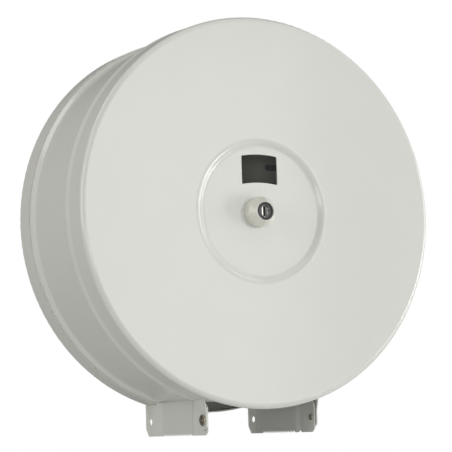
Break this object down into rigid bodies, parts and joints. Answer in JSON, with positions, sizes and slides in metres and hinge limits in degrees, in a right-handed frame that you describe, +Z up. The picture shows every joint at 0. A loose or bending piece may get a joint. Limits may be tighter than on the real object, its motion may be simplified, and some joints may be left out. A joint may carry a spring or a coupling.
{
  "type": "jumbo roll toilet paper dispenser",
  "caption": "Wall-mounted round steel dispenser for a jumbo paper roll, with a hinged lockable front cover and notched tear plates below its paper exit.",
  "frame": {"origin": "on the drum's axis, in the plane of the wall that the dispenser hangs on", "axes": "+Z up, +Y into the wall, the cover's face looks along -Y and +X is to the right for someone facing the dispenser"},
  "size_m": [0.312, 0.1316, 0.3299],
  "materials": {
    "white_paint": "satin white powder coat on pressed steel",
    "white_plastic": "slightly warm white moulded plastic",
    "dark_metal": "dark gun-metal plating",
    "chrome": "bright chrome",
    "black_steel": "black oxide",
    "zinc_screw": "zinc plated, slightly yellow",
    "zinc_steel": "bright zinc plate",
    "hub_plastic": "fine moulded light grey",
    "nylon": "natural nylon"
  },
  "bodies": {
    "body": {"back_pan": "white_paint", "drum_wall": "white_paint", "cutter_left": "white_paint", "cutter_right": "white_paint", "hinge_screws": "zinc_screw", "hinge_washers": "zinc_steel", "spindle_base": "zinc_steel", "spindle_rivets": "zinc_steel", "spindle_post": "zinc_steel", "retaining_ring": "black_steel", "thrust_washers": "nylon", "strike_plate": "zinc_steel", "strike_screws": "zinc_screw"},
    "cover": {"cover_shell": "white_paint", "hinge_ear_left": "white_paint", "hinge_ear_right": "white_paint", "lock_bezel": "white_plastic", "lock_body": "dark_metal", "lock_washer": "zinc_steel", "lock_nut": "zinc_steel"},
    "lock_core": {"lock_plug": "dark_metal", "keyway_insert": "chrome", "key_shutter": "black_steel", "lock_cam": "zinc_steel", "cam_screw": "zinc_screw"},
    "hub": {"roll_hub": "hub_plastic"}
  },
  "joints": [
    {"name": "cover_hinge", "type": "hinge", "parent": "body", "child": "cover", "pos_m": [0, -0.1057, -0.1622], "axis": [1, 0, 0], "range_deg": [0, 175]},
    {"name": "lock_turn", "type": "hinge", "parent": "cover", "child": "lock_core", "pos_m": [-0.0026, -0.1165, -0.0011], "axis": [0, 1, 0], "range_deg": [0, 90]},
    {"name": "hub_spin", "type": "hinge", "parent": "body", "child": "hub", "pos_m": [0, -0.045, 0], "axis": [0, 1, 0], "continuous": true}
  ]
}
